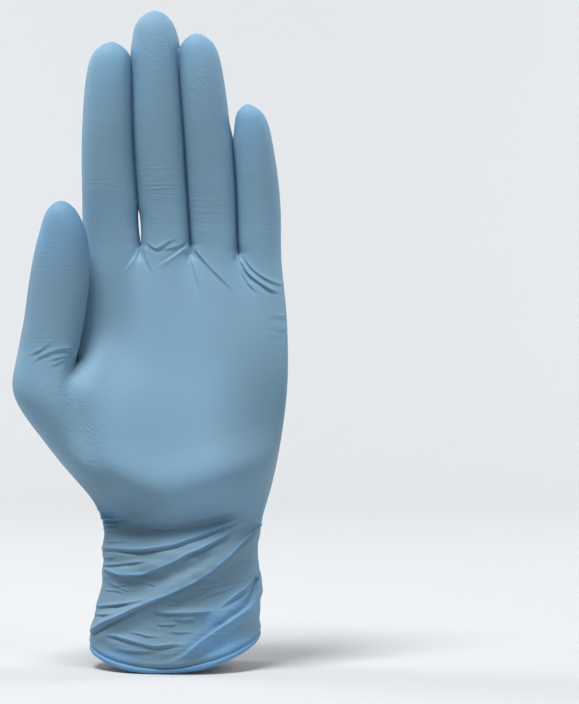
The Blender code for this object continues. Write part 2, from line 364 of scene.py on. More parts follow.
def thumb_share(places):
    """1 on the thumb, 0 on the hand behind it."""
    x, y, z = (places / MM).T
    off_x = (x - THUMB_MIDDLE[0]) / THUMB_HALVES[0]
    off_y = (y - THUMB_MIDDLE[1]) / THUMB_HALVES[1]
    return (1 - ease(np.hypot(off_x, off_y), *THUMB_EDGE)) * ease(z, THUMB_LOW, THUMB_FULL)


def blunt_tips(places):
    moved = places.copy()
    x, y, z = (places / MM).T
    borders = [split.across + split.drift * (z - SPLIT_LEVEL) for split in SPLITS]
    for tip, left, right in zip(TIPS, borders, borders[1:]):
        down = np.maximum(tip.up - z, 0)
        rounding = 1 - np.exp(-down / TIP_ROUNDING)
        amount = tip.widen * rounding * np.exp(-((down / TIP_REACH) ** 2))
        own = (x > left) & (x < right)
        aside = np.clip((x - tip.across) / TIP_HALF, -1, 1)
        moved[:, 0] += np.where(own, amount * aside, 0) * MM
        moved[:, 2] -= np.where(own, tip.lower * np.exp(-((down / LOWER_REACH) ** 2)), 0) * MM
    thumb = thumb_share(places) * (1 - ease(z, THUMB_CALM, THUMB_TOP))
    moved[:, 0] += (THUMB_MOVE + THUMB_WIDEN * (x - THUMB_MIDDLE[0])) * thumb * MM
    return moved


def largest_move(before, after):
    return round(float(np.abs(after - before).max()) / MM, 2)


packed_smooth = smooth_points
smooth_points = blunt_tips(smooth_points)
set_positions(film_mesh, smooth_points)
print("blunt tips, largest move, mm:", largest_move(packed_smooth, smooth_points))

# %% [markdown]
# ## The gaps between the fingers
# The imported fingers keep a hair's gap, as separate forms must. On the real glove they are held together.
# The gap isn't the same all the way up, so it is measured with rays that start on the side of one finger
# and look for the next one, at each height.

# %% Measure the gaps
PRESS_FROM = 146 * MM
PRESS_STEP = 1.5 * MM
PRESS_REACH = 5.0 * MM
RAY_START = 0.02 * MM
SIDE_FACING, FACED_BACK = 0.7, -0.5
# Higher up than the last narrow place the fingers part for good
TOUCH_TOP = 1.6 * MM
# Roughly where the three gaps between the fingers lie across the glove
GAP_PLACES = (-13.5 * MM, 4.5 * MM, 22.0 * MM)


def point_normals(mesh):
    flat = np.empty(len(mesh.vertices) * 3)
    mesh.vertices.foreach_get("normal", flat)
    return flat.reshape(-1, 3)


def face_tree(mesh, places):
    return BVHTree.FromPolygons(places.tolist(), [tuple(polygon.vertices) for polygon in mesh.polygons])


def measure_gaps(mesh, places, normals):
    """For each gap between fingers: heights, the gap's middle across, and its least width there."""
    skin = face_tree(mesh, places)
    found = [[] for _ in GAP_PLACES]
    ahead = Vector((1, 0, 0))
    on_right_sides = (places[:, 2] > PRESS_FROM) & (normals[:, 0] > SIDE_FACING)
    for place in places[on_right_sides]:
        hit, faced, _, gap = skin.ray_cast(Vector(place) + ahead * RAY_START, ahead, PRESS_REACH)
        if hit is not None and faced.x < FACED_BACK:
            middle = place[0] + gap / 2
            nearest = min(range(len(GAP_PLACES)), key=lambda k: abs(GAP_PLACES[k] - middle))
            found[nearest].append((place[2], middle, gap + RAY_START))
    gaps = []
    for rows in found:
        rows = np.array(rows)
        slots = np.round(rows[:, 0] / PRESS_STEP).astype(int)
        heights = np.unique(slots)
        middles = np.array([np.median(rows[slots == slot, 1]) for slot in heights])
        widths = np.array([rows[slots == slot, 2].min() for slot in heights])
        keep = heights <= heights[widths < TOUCH_TOP].max()
        gaps.append((heights[keep] * PRESS_STEP, middles[keep], widths[keep]))
    return gaps


finger_gaps = measure_gaps(film_mesh, smooth_points, point_normals(film_mesh))
print("widest gaps, mm:", [round(float(widths.max()) / MM, 2) for _, _, widths in finger_gaps])

# %% [markdown]
# ## Fingers that touch
# Each finger is widened by half of the gap to its neighbour, and a hair more. They stay round, and meet
# along one dark groove. Just above the web between the index and the middle finger a narrow slit stays
# open. The edge of the palm is widened in the same way until it meets the thumb. The film could be
# squeezed by a simulation, but it would wander, and the measured gaps give the same picture each time.

# %% How closely they touch
PRESS_BLEND = 6 * MM
TIP_BLEND = 9 * MM
FINGER_HALF = 11 * MM
OVERLAP = 0.12 * MM
GROOVE_DEEP = 2.0 * MM
GROOVE_HALF = 1.5 * MM
GROOVE_FACING = 0.4
SLIT_HEIGHT = 160.5 * MM
SLIT_REACH = 5.0 * MM
SLIT_WIDTH = 0.95 * MM
# The palm's edge behind the thumb
PALM_EDGE_X = -32 * MM
PALM_EDGE_HALF = 5 * MM
PALM_EDGE_LOW, PALM_EDGE_FULL = 108 * MM, 116 * MM
PALM_EDGE_CALM, PALM_EDGE_HIGH = 150 * MM, 178 * MM
PALM_EDGE_BACK = (-10 * MM, -8 * MM)
PALM_EDGE_FACING = 0.6
PALM_EDGE_MOVE = 1.7 * MM
print("slit left open, mm:", round(SLIT_WIDTH / MM, 2), "at", round(SLIT_HEIGHT / MM, 1), "up")


# %% Press the fingers together
def close_gap(places, normals, gap, open_slit):
    """How far each point moves across and in depth so that one gap closes, but for the open slit."""
    heights, middles, widths = gap
    middle = np.interp(places[:, 2], heights, middles)
    width = np.interp(places[:, 2], heights, widths)
    rising = ease(places[:, 2], PRESS_FROM, PRESS_FROM + PRESS_BLEND)
    fade = rising * (1 - ease(places[:, 2], heights[-1], heights[-1] + TIP_BLEND))
    sideways = ease(np.abs(normals[:, 0]), 0.0, SIDE_FACING)
    move = np.maximum(width / 2 + OVERLAP - open_slit / 2, 0) * sideways * fade
    off = middle - places[:, 0]
    facing = (np.abs(off) < FINGER_HALF) & (off * normals[:, 0] > 0)
    inward = -np.sign(normals[:, 1]) * ease(np.abs(normals[:, 1]), 0.0, GROOVE_FACING)
    groove = GROOVE_DEEP * inward * np.exp(-((off / GROOVE_HALF) ** 2)) * fade
    return np.where(facing, np.sign(off) * move, 0), groove


def press_fingers(places, normals, gaps):
    """Widens the fingers by half of the gaps between them, so that neighbours touch."""
    moved = places.copy()
    height = places[:, 2]
    slit = SLIT_WIDTH * np.exp(-(((height - SLIT_HEIGHT) / SLIT_REACH) ** 4))
    for gap, open_slit in zip(gaps, (slit, 0, 0)):
        aside, groove = close_gap(places, normals, gap, open_slit)
        moved[:, 0] += aside
        moved[:, 1] += groove
    near = np.exp(-(((places[:, 0] - PALM_EDGE_X) / PALM_EDGE_HALF) ** 4))
    side = near * ease(-normals[:, 0], 0.0, PALM_EDGE_FACING) * ease(places[:, 1], *PALM_EDGE_BACK)
    span = ease(height, PALM_EDGE_LOW, PALM_EDGE_FULL) * (1 - ease(height, PALM_EDGE_CALM, PALM_EDGE_HIGH))
    moved[:, 0] -= PALM_EDGE_MOVE * side * span
    return moved


pressed_points = press_fingers(smooth_points, point_normals(film_mesh), finger_gaps)
set_positions(film_mesh, pressed_points)
print("pressed together, largest move, mm:", largest_move(smooth_points, pressed_points))

# %% [markdown]
# ## The worn profile
# Seen from the side, a worn glove isn't flat. The palm is a little hollow, so the film there leans back
# and the fingers lean forward. Below the ball of the hand the film turns sharply in to the wrist, and on
# the back the knuckles and finger joints stand out. These are broad, soft forms, so bell-shaped curves
# that add up make them, and no point needs to be pulled by hand.

# %% Forms of the profile
# Bumps towards the viewer or, on the back, away: middle, half sizes and rise, in mm
Bump = namedtuple("Bump", "across up half_width half_height rise")

# The knuckles and the finger joints, which stand out on the glove's back
BACK_BUMPS = (
    Bump(-23, 133, 6.5, 8.0, 1.2),
    Bump(-5, 138, 6.5, 8.0, 1.3),
    Bump(10, 135, 6.5, 8.0, 1.1),
    Bump(28, 127, 6.0, 7.5, 0.9),
    Bump(-24, 177, 5.5, 6.5, 0.6),
    Bump(-6, 186, 5.5, 6.5, 0.6),
    Bump(11, 179, 5.5, 6.5, 0.6),
    Bump(31, 164, 5.0, 6.0, 0.5),
)
# The film between the thumb's base and the palm, the palm beside the web, and the cuff's lower right
FRONT_BUMPS = (
    Bump(-33.5, 103.5, 6.5, 9.0, 3.3),
    Bump(-28.0, 112.0, 6.5, 8.0, 1.8),
    Bump(21.0, -1.0, 14.0, 10.0, 3.4),
)
HOLLOW = 2.6 * MM
HOLLOW_START, HOLLOW_DEEP = 72 * MM, 134 * MM
LEAN_START, LEAN_END = 142 * MM, 205 * MM
HEEL_SWELL = 3.4 * MM
HEEL_TUCK = 4.6 * MM
# The heel's lower boundary, as seen from the front: it drops from the left edge to the middle
HEEL_LINE = np.array(
    ((-34, 58.0), (-24, 56.5), (-15, 54.0), (-7, 52.0), (0, 52.4), (10, 55.0), (20, 57.5), (34, 60.0))
)
SWELL_ABOVE, SWELL_SPREAD = 13.0, 9.5
TUCK_BELOW, TUCK_SPREAD = 2.5, 7.0
TUCK_MORE_LEFT = 0.55
LEFT_FADE = (2, 18)
# How far a point must face the viewer, or away, to move in full
FACING_FADE = (0.1, 0.8)
print("bumps:", len(FRONT_BUMPS), "in front,", len(BACK_BUMPS), "behind")


# %% Lean into the profile
def bump_rise(bumps, across, up):
    """The rise of all the bumps together, in metres."""
    rise = np.zeros(len(across))
    for bump in bumps:
        far = ((across - bump.across) / bump.half_width) ** 2 + ((up - bump.up) / bump.half_height) ** 2
        rise += bump.rise * MM * np.exp(-far)
    return rise


def lean_profile(places, normals):
    """Moves points to the worn profile: the hollow of the palm, and the heel above its line."""
    moved = places.copy()
    height = places[:, 2]
    moved[:, 1] += HOLLOW * (ease(height, HOLLOW_START, HOLLOW_DEEP) - ease(height, LEAN_START, LEAN_END))
    across, up = seen_from_front(places)
    above = up - np.interp(across, HEEL_LINE[:, 0], HEEL_LINE[:, 1])
    swell = HEEL_SWELL * np.exp(-(((above - SWELL_ABOVE) / SWELL_SPREAD) ** 2))
    tuck = HEEL_TUCK * np.exp(-(((above + TUCK_BELOW) / TUCK_SPREAD) ** 2))
    tuck *= 1 + TUCK_MORE_LEFT * ease(-across, *LEFT_FADE)
    front = ease(-normals[:, 1], *FACING_FADE)
    moved[:, 1] -= (swell - tuck + bump_rise(FRONT_BUMPS, across, up)) * front
    moved[:, 1] += bump_rise(BACK_BUMPS, across, up) * ease(normals[:, 1], *FACING_FADE)
    return moved


profile_points = lean_profile(pressed_points, point_normals(film_mesh))
set_positions(film_mesh, profile_points)
profile_normals = point_normals(film_mesh)
print("worn profile, largest move, mm:", largest_move(pressed_points, profile_points))

# %% [markdown]
# ## How a fold lies
# Loose film drops into folds that aren't round: it bulges softly on its high side, ends in a thin crest,
# and tucks in sharply on its low side. A cloth simulation would give folds of its own choice. Here each
# fold has to lie where the real one does, so it is a smooth curve through a few points, and the film is
# lifted by its distance from that curve.

# %% A fold's line
LINE_STEPS = 6


def smooth_line(points):
    """A finer line through the points, without kinks."""
    points = np.array(points, float)
    padded = np.vstack([2 * points[0] - points[1], points, 2 * points[-1] - points[-2]])
    line = []
    for before, start, end, after in zip(padded, padded[1:], padded[2:], padded[3:]):
        bend = 2 * before - 5 * start + 4 * end - after
        twist = 3 * start - before - 3 * end + after
        for t in np.arange(LINE_STEPS) / LINE_STEPS:
            line.append(0.5 * (2 * start + (end - before) * t + bend * t**2 + twist * t**3))
    line.append(points[-1])
    return np.array(line)


def off_line(across, up, points):
    """For every place: how far it is to the left of the line (mm), its share along the line, and the
    line's leftward direction there."""
    line = smooth_line(points)
    runs = np.hypot(*(line[1:] - line[:-1]).T)
    starts = np.concatenate([[0], np.cumsum(runs)])
    nearest = np.full(len(across), np.inf)
    side = np.zeros(len(across))
    share = np.zeros(len(across))
    leftward = np.zeros((len(across), 2))
    for (ax, ay), (bx, by), run, start in zip(line, line[1:], runs, starts):
        t = np.clip(((across - ax) * (bx - ax) + (up - ay) * (by - ay)) / run**2, 0, 1)
        dx, dy = across - ax - t * (bx - ax), up - ay - t * (by - ay)
        gap = np.hypot(dx, dy)
        closer = gap < nearest
        nearest = np.where(closer, gap, nearest)
        side = np.where(closer, np.sign((bx - ax) * dy - (by - ay) * dx), side)
        share = np.where(closer, (start + t * run) / starts[-1], share)
        leftward[closer] = (-(by - ay) / run, (bx - ax) / run)
    return nearest * side, share, leftward


print("a corner as a smooth line:", len(smooth_line(((0, 0), (4, 0), (4, 3)))), "points")

# %% A fold's lift
# Points (across, up); the crest's rise; how wide the swell is above the line and the tuck below it; the
# depth of the tuck; and the shares of the line over which it fades in and out. All sizes are in mm. Above
# is the left side of the line.
Fold = namedtuple("Fold", "points rise above below tuck fade_in fade_out")

# The share of a fold's rise that is its soft swell, and the width of the thin lip that makes the rest
SWELL = 0.42
LIP_WIDTH = 0.55
# The crest's drop to the low side and the deepest part of the tuck, as shares of the width below
DROP_SHARE = 0.22
TUCK_SHARE = 0.34
# A fold reaches this many times its swell's width past its ends
END_REACH = 3
# A crest's rise changes by this share on its way along
UNEVEN = 0.20
WAVES = 14.0
SHORTEST_FADE = 1e-6


def end_fade(share, fold):
    fade_in = ease(share, 0, max(fold.fade_in, SHORTEST_FADE))
    return fade_in * (1 - ease(share, 1 - max(fold.fade_out, SHORTEST_FADE), 1))


def fold_lift(across, up, fold):
    """How far a fold lifts the film, in mm."""
    off, share, _ = off_line(across, up, fold.points)
    over, under = np.maximum(off, 0), np.maximum(-off, 0)
    soft = np.exp(-((over / fold.above) ** 2))
    lip = np.exp(-((over / LIP_WIDTH) ** 2))
    drop = np.exp(-((under / (DROP_SHARE * fold.below)) ** 2))
    depth = under / (TUCK_SHARE * fold.below)
    high_side = fold.rise * (SWELL * soft + (1 - SWELL) * lip)
    low_side = fold.rise * drop - fold.tuck * depth * np.exp(1 - depth)
    near_end = np.exp(-((np.maximum(np.abs(off) - END_REACH * fold.above, 0)) ** 2))
    uneven = 1 + UNEVEN * np.sin(WAVES * share + fold.points[0][0])
    return np.where(off >= 0, high_side, low_side) * uneven * end_fade(share, fold) * near_end


sample = Fold(((0, 0), (10, 0), (20, 0)), 1.0, 2.4, 1.5, 0.8, 0.1, 0.1)
sample_up = np.array([-1.5, -0.5, 0.0, 0.5, 1.5])
sample_lift = fold_lift(np.full(len(sample_up), 10.0), sample_up, sample)
print("lift from below a sample fold to above it, mm:", sample_lift.round(2))

# %% [markdown]
# ## The gathers of the cuff
# The cuff is cut wide so that it pulls on easily, and its loose film drops into long slanting gathers.
# The strongest one climbs from the left edge to the right one. The one below it hangs over to its upper
# side, so its line runs from right to left. Small ones branch off between them, and two soft ones lie
# under the heel. One wave pattern could fill the cuff with even folds, but real gathers are each
# different, so each has a row of its own.

# %% Cuff folds
CUFF_FOLDS = (
    Fold(((-28, 42.6), (-25, 42.9), (-20, 42.5), (-15, 42.2), (-10, 42.4), (-5, 43.2), (0, 44.2),
          (5, 45.9), (10, 47.7), (15, 49.9), (20, 52.1), (25, 54.0)), 0.95, 2.2, 1.5, 0.85, 0.01, 0.18),
    Fold(((-27, 35.8), (-25, 35.0), (-22, 34.0), (-20, 33.5), (-15, 33.5), (-12, 33.6), (-10, 34.3),
          (-5, 36.1), (0, 38.3), (5, 40.9), (10, 43.1), (15, 45.8), (20, 48.7), (24, 50.4)),
          0.95, 2.4, 1.5, 0.80, 0.01, 0.15),
    Fold(((-31, 12.6), (-29, 13.6), (-25, 16.0), (-20, 18.2), (-15, 20.8), (-10, 23.0), (-5, 25.1),
          (0, 27.5), (5, 30.0), (10, 32.9), (15, 36.5), (20, 40.6), (25, 45.9), (28, 48.6), (31, 52.0)),
          1.25, 2.8, 1.7, 1.05, 0.01, 0.01),
    Fold(((30.5, 33.0), (29.8, 30.0), (29.3, 27.5), (28.3, 24.3), (27.0, 21.9), (25, 20.2), (20, 16.6),
          (15, 13.2), (10, 9.7), (5, 5.8), (2.5, 4.2), (0, 3.2), (-2.5, 2.6), (-6, 1.8)),
          0.80, 8.0, 2.2, 0.95, 0.02, 0.25),
    Fold(((15, 20.6), (18, 22.6), (20, 24.3), (22, 25.9), (25, 28.2), (27, 30.2), (28.6, 32.6),
          (29.6, 35.2), (30.6, 39.0)), 1.00, 2.4, 1.8, 0.50, 0.25, 0.02),
    Fold(((-10, 21.8), (-8, 20.6), (-5, 19.7), (0, 19.4), (5, 19.4), (10, 19.7), (15, 20.0)),
          0.55, 1.6, 1.3, 0.45, 0.15, 0.30),
    Fold(((-4.5, 24.0), (-2, 23.2), (0, 23.0), (4, 22.9)), 0.25, 1.2, 1.0, 0.25, 0.30, 0.40),
    Fold(((-7.5, 15.6), (-5, 15.0), (-2, 15.1), (2, 15.2)), 0.25, 1.0, 0.9, 0.25, 0.30, 0.40),
    Fold(((-27, 11.4), (-22, 11.1), (-20, 10.4), (-15, 9.0), (-12, 8.2), (-10, 7.7), (-7, 7.3),
          (-5, 7.5), (0, 7.8), (6, 7.8)), 0.60, 2.0, 1.8, 0.50, 0.15, 0.25),
    Fold(((-18, 12.6), (-13, 11.7), (-10, 10.9), (-8, 10.8), (-4, 10.2)),
          0.30, 1.4, 1.1, 0.28, 0.30, 0.40),
    Fold(((-23, 6.8), (-15, 5.9), (-10, 5.4), (-6, 5.4)), 0.30, 1.2, 1.0, 0.28, 0.30, 0.40),
    Fold(((-30, 21.9), (-27.5, 21.9), (-25, 22.1), (-20, 22.5), (-15, 23.3), (-10, 24.3)),
          0.60, 1.6, 1.2, 0.50, 0.01, 0.45),
    Fold(((-30, 18.8), (-28.3, 18.8), (-25, 18.7), (-21.5, 19.1)), 0.45, 1.2, 1.0, 0.40, 0.01, 0.50),
    Fold(((-26, 30.2), (-24, 30.2), (-21, 28.9), (-18, 27.6), (-15, 26.4)),
          0.22, 0.9, 0.9, 0.22, 0.20, 0.40),
    Fold(((-26, 29.6), (-22, 29.0), (-18, 29.8), (-14, 30.6)), 0.22, 0.9, 0.9, 0.22, 0.20, 0.40),
    Fold(((-26, 27.6), (-22, 27.5), (-18, 26.6)), 0.20, 0.9, 0.9, 0.20, 0.20, 0.40),
    Fold(((-12, 31.2), (-9, 29.8), (-6, 28.8)), 0.22, 1.0, 0.9, 0.22, 0.30, 0.40),
    Fold(((-27, 36.7), (-25, 36.8), (-20, 37.2), (-15, 37.8), (-9, 38.2)),
          0.45, 1.5, 1.2, 0.40, 0.02, 0.40),
    Fold(((-28, 39.8), (-25.5, 39.6), (-21, 39.7)), 0.35, 1.0, 0.9, 0.32, 0.02, 0.50),
    Fold(((-28, 45.4), (-25, 45.2), (-20, 45.2), (-12, 45.3), (-6, 45.0)),
          0.35, 1.6, 1.2, 0.30, 0.02, 0.40),
    Fold(((-28, 49.6), (-25, 49.6), (-20, 49.8)), 0.35, 1.0, 0.9, 0.30, 0.02, 0.50),
    Fold(((-28, 51.6), (-25, 51.5), (-20, 51.9)), 0.30, 0.9, 0.8, 0.28, 0.02, 0.50),
    Fold(((-28, 53.7), (-25, 53.7), (-22, 53.7), (-18, 54.3), (-15, 55.0)),
          0.85, 1.5, 1.3, 0.75, 0.01, 0.40),
    Fold(((-29, 56.7), (-25, 56.6), (-21, 56.6)), 0.60, 1.1, 1.0, 0.55, 0.01, 0.50),
    Fold(((21, 35.6), (24, 37.4), (26.5, 39.2), (28.5, 41.4), (30, 44.5)),
          0.35, 1.2, 1.0, 0.32, 0.30, 0.10),
    Fold(((22, 33.2), (25, 35.4), (27, 37.0), (28.6, 39.2)), 0.30, 1.0, 0.9, 0.28, 0.30, 0.20),
    Fold(((24, 39.6), (26.5, 42.0), (28.3, 44.6), (29.6, 47.6)), 0.35, 1.2, 1.0, 0.32, 0.30, 0.15),
    Fold(((6, 22.5), (9, 24.5), (13, 26.6), (18, 27.8), (22, 28.6)), 0.30, 1.8, 1.4, 0.25, 0.30, 0.40),
    Fold(((8, 28.5), (13, 29.6), (18, 30.0), (23, 31.4)), 0.30, 1.4, 1.2, 0.26, 0.30, 0.40),
    Fold(((-3, 12.6), (2, 12.2), (7, 12.6)), 0.22, 1.0, 0.9, 0.20, 0.30, 0.40),
    Fold(((-2, 17.2), (3, 16.8), (9, 17.2)), 0.22, 1.0, 0.9, 0.20, 0.30, 0.40),
)
HEEL_FOLDS = (
    Fold(((-16, 53.0), (-13, 52.4), (-10, 51.8), (-7, 51.0), (-4, 50.6), (0, 51.0), (5, 52.0),
          (10, 53.0), (15, 54.3), (20, 55.8), (26, 57.0)), 0.80, 4.0, 2.4, 0.60, 0.20, 0.15),
    Fold(((-10, 48.9), (-6, 48.6), (-2, 48.8), (3, 49.6)), 0.22, 1.2, 1.1, 0.20, 0.30, 0.40),
)
print("cuff:", len(CUFF_FOLDS), "folds, heel:", len(HEEL_FOLDS))

# %% [markdown]
# ## Gathers on the back of the cuff
# Behind, the cuff lies flatter, so its gathers are fewer and softer. They run on from those that leave
# the front at the two sides, and are placed in the same way, as seen through the glove from the front.

# %% Back folds
BACK_FOLDS = (
    Fold(((-31, 46.0), (-22, 42.6), (-12, 40.4), (0, 39.6), (10, 40.6), (20, 43.6), (31, 48.0)),
          0.80, 2.4, 1.8, 0.65, 0.10, 0.10),
    Fold(((-31, 33.0), (-20, 29.2), (-10, 26.8), (2, 26.2), (13, 28.6), (24, 33.0)),
          0.85, 2.6, 1.9, 0.70, 0.05, 0.35),
    Fold(((-22, 19.0), (-12, 17.6), (0, 17.2), (12, 19.2), (22, 22.6), (31, 27.0)),
          0.80, 2.4, 1.8, 0.65, 0.35, 0.05),
    Fold(((-20, 51.0), (-10, 49.4), (2, 49.6), (12, 51.4)), 0.50, 1.8, 1.5, 0.42, 0.35, 0.35),
    Fold(((-28, 12.6), (-16, 10.4), (-2, 9.8), (10, 10.6)), 0.50, 1.6, 1.4, 0.42, 0.10, 0.45),
    Fold(((2, 33.6), (12, 35.8), (22, 39.4), (30, 43.4)), 0.50, 1.6, 1.4, 0.42, 0.35, 0.05),
    Fold(((-31, 38.6), (-22, 36.2), (-12, 35.2), (-4, 35.4)), 0.45, 1.5, 1.3, 0.38, 0.05, 0.45),
    Fold(((6, 14.2), (14, 15.8), (24, 18.8)), 0.35, 1.4, 1.2, 0.30, 0.35, 0.35),
)
print("back of the cuff:", len(BACK_FOLDS), "folds")

# %% [markdown]
# ## Tucks of the palm
# Where two fingers part, the stretched film pulls into tucks that run out into the palm. The base of the
# little finger and the base of the thumb are creased. These are the same kind of fold as the cuff's, only
# lower, so they take rows of the same table.

# %% Palm folds
PALM_FOLDS = (
    # the tuck that dips below the middle finger
    Fold(((-11.0, 154.6), (-9.0, 152.8), (-7.0, 151.7), (-5.2, 152.4), (-3.6, 153.6), (-1.2, 154.8),
          (1.0, 155.6)), 0.34, 1.4, 1.4, 0.34, 0.20, 0.45),
    Fold(((-6.0, 151.0), (-3.0, 151.6), (0.5, 152.6), (3.6, 153.6)), 0.24, 1.6, 1.5, 0.22, 0.40, 0.10),
    # out of the web between the middle and the ring finger
    Fold(((4.8, 153.5), (1.5, 150.6), (-1.5, 148.4), (-5.0, 146.2), (-8.5, 144.8)),
          0.38, 1.5, 1.4, 0.32, 0.10, 0.55),
    Fold(((4.4, 152.0), (5.6, 148.0), (6.8, 144.0), (8.4, 139.0), (10.4, 133.5)),
          0.36, 1.6, 1.5, 0.30, 0.10, 0.60),
    Fold(((6.6, 152.4), (9.4, 148.6), (13.6, 144.0), (19.0, 138.4), (25.2, 131.4)),
          0.38, 2.0, 1.8, 0.32, 0.10, 0.60),
    # out of the web between the index and the middle finger
    Fold(((-12.8, 152.6), (-14.2, 149.6), (-16.4, 146.2), (-19.6, 142.4)),
          0.30, 1.6, 1.5, 0.26, 0.10, 0.60),
    Fold(((-11.6, 152.0), (-10.8, 149.0), (-9.4, 145.4), (-7.4, 141.0)),
          0.26, 1.5, 1.4, 0.22, 0.10, 0.60),
    # the crease at the base of the little finger, and its pair
    Fold(((21.8, 149.6), (23.8, 146.8), (27.0, 142.2), (31.4, 138.9), (35.0, 136.7), (38.5, 135.2)),
          0.55, 1.4, 1.1, 0.70, 0.04, 0.25),
    Fold(((24.6, 149.4), (27.4, 145.0), (31.6, 141.6), (36.0, 139.4), (40.0, 138.2)),
          0.40, 1.2, 1.0, 0.34, 0.20, 0.20),
    Fold(((23.0, 146.0), (24.6, 142.0), (27.4, 138.0), (31.0, 134.6)),
          0.34, 1.3, 1.1, 0.30, 0.15, 0.45),
    # short lines at the little finger's side of the palm
    Fold(((33.0, 127.4), (37.0, 127.0), (41.0, 126.8)), 0.22, 1.0, 0.9, 0.20, 0.40, 0.05),
    Fold(((34.0, 122.6), (38.0, 122.4), (42.0, 122.4)), 0.22, 1.0, 0.9, 0.20, 0.40, 0.05),
    # the crease of the thumb's web and the lines that run out of it round the thumb's base
    Fold(((-34.2, 119.6), (-35.0, 117.0), (-36.2, 114.0), (-38.6, 110.8)),
          0.60, 1.3, 1.1, 0.70, 0.10, 0.30),
    Fold(((-53.2, 108.8), (-50.6, 111.3), (-47.0, 113.5), (-43.4, 114.9), (-39.0, 115.7),
          (-35.4, 114.9)), 0.36, 1.7, 1.6, 0.36, 0.45, 0.05),
    Fold(((-54.3, 112.4), (-50.6, 114.2), (-47.0, 116.4), (-43.7, 119.3)),
          0.28, 1.8, 1.6, 0.26, 0.35, 0.50),
    Fold(((-46.6, 110.8), (-43.0, 112.0), (-39.0, 112.9), (-36.2, 113.4)),
          0.24, 1.4, 1.3, 0.24, 0.45, 0.10),
    Fold(((-45.6, 108.4), (-43.4, 109.8), (-40.5, 111.3), (-37.6, 111.2)),
          0.26, 1.4, 1.3, 0.26, 0.45, 0.10),
)
FRONT_FOLDS = CUFF_FOLDS + HEEL_FOLDS + PALM_FOLDS
print("palm:", len(PALM_FOLDS), "folds")

# %% [markdown]
# ## Points gathered along the crests
# A crest is thinner than the rows are high, and a lift alone would leave it jagged. Before the folds are
# lifted, the points near each line slide over the surface towards it, so every crest has its own close
# rows, with not one face more.

# %% Gather the points
GATHER_REACH = 1.5
GATHER_POWER = 1.6
GATHER_FACING = (-0.05, 0.25)
LEAST_SLIDE = 0.001


def gather_points(mesh, places, normals):
    """Slides the points near the folds' lines along the surface, closer to the lines."""
    across, up = seen_from_front(places)
    facing = ease(-normals[:, 1], *GATHER_FACING)
    slide = np.zeros((len(places), 2))
    for fold in FRONT_FOLDS:
        off, share, leftward = off_line(across, up, fold.points)
        reach = np.clip(np.abs(off) / GATHER_REACH, 0, 1)
        closer = GATHER_REACH * (reach**GATHER_POWER - reach) * np.sign(off)
        slide += leftward * (closer * end_fade(share, fold) * facing)[:, None]
    moved = places.copy()
    moved[:, 0] += slide[:, 0] * MM
    moved[:, 2] += slide[:, 1] * MM
    skin = face_tree(mesh, places)
    slid = np.abs(slide).max(axis=1) > LEAST_SLIDE
    moved[slid] = [skin.find_nearest(Vector(place))[0] for place in moved[slid]]
    return moved


gathered_points = gather_points(film_mesh, profile_points, profile_normals)
set_positions(film_mesh, gathered_points)
print("gathered, largest move, mm:", largest_move(profile_points, gathered_points))

# %% [markdown]
# ## The folds, lifted
# All the folds' lifts are added up, and each point moves that far along its own normal. A displacement in
# the material would do the same, but only in the render. Lifted here, the folds are real geometry. Front
# folds fade out round the side, and stand out less at the outline, where a worn glove lies close.

# %% Lift the folds
FRONT_FADE = (-0.25, 0.15)
BACK_FADE = (-0.10, 0.35)
EDGE_FADE = (0.05, 0.55)
EDGE_LIFT = 0.28

normals = point_normals(film_mesh)
across, up = seen_from_front(gathered_points)
facing_front = ease(-normals[:, 1], *FRONT_FADE)
facing_back = ease(normals[:, 1], *BACK_FADE)
edge_calm = EDGE_LIFT + (1 - EDGE_LIFT) * ease(-normals[:, 1], *EDGE_FADE)
lift = sum(fold_lift(across, up, fold) for fold in FRONT_FOLDS) * facing_front * edge_calm
lift += sum(fold_lift(across, up, fold) for fold in BACK_FOLDS) * facing_back
folded_points = gathered_points + normals * (lift * MM)[:, None]
set_positions(film_mesh, folded_points)
print("folds lift, mm:", round(float(lift.min()), 2), "to", round(float(lift.max()), 2))

# %% [markdown]
# ## The hem
# The real edge is rolled up from the film itself, so film and bead are one. Here the film's last few
# millimetres run on down into the separate bead, with a slight flare above it, so no gap shows.

# %% Hem
HEM_HEIGHT = 7 * MM
HEM_DROP = 1.1 * MM
HEM_FLARE = 0.55 * MM
HEM_FLARE_AT = 1.7 * MM
HEM_FLARE_SPREAD = 1.2 * MM
HEM_TUCK = 0.55 * MM
HEM_TUCK_SPREAD = 0.7 * MM


def edge_loop_numbers(mesh):
    """The numbers of the points round the open edge of a mesh, in order."""
    work = bmesh.new()
    work.from_mesh(mesh)
    start = next(edge for edge in work.edges if edge.is_boundary)
    loop, vertex, edge = [], start.verts[0], start
    while True:
        loop.append(vertex.index)
        vertex = edge.other_vert(vertex)
        edge = next(item for item in vertex.link_edges if item.is_boundary and item != edge)
        if edge == start:
            break
    work.free()
    return loop


rim_ring = edge_loop_numbers(film_mesh)
rim_places = folded_points[rim_ring]
rim_turn = np.arctan2(rim_places[:, 1], rim_places[:, 0])
order = np.argsort(rim_turn)


def hem_move(places, normals):
    """Carries the lowest part of the film down into the bead."""
    turn = np.arctan2(places[:, 1], places[:, 0])
    above = places[:, 2] - np.interp(turn, rim_turn[order], rim_places[order, 2], period=math.tau)
    flare = HEM_FLARE * np.exp(-(((above - HEM_FLARE_AT) / HEM_FLARE_SPREAD) ** 2))
    flare -= HEM_TUCK * np.exp(-((above / HEM_TUCK_SPREAD) ** 2))
    flare[above > HEM_HEIGHT] = 0
    moved = places + normals * flare[:, None]
    moved[:, 2] -= HEM_DROP * (1 - ease(above, 0, HEM_HEIGHT))
    return moved


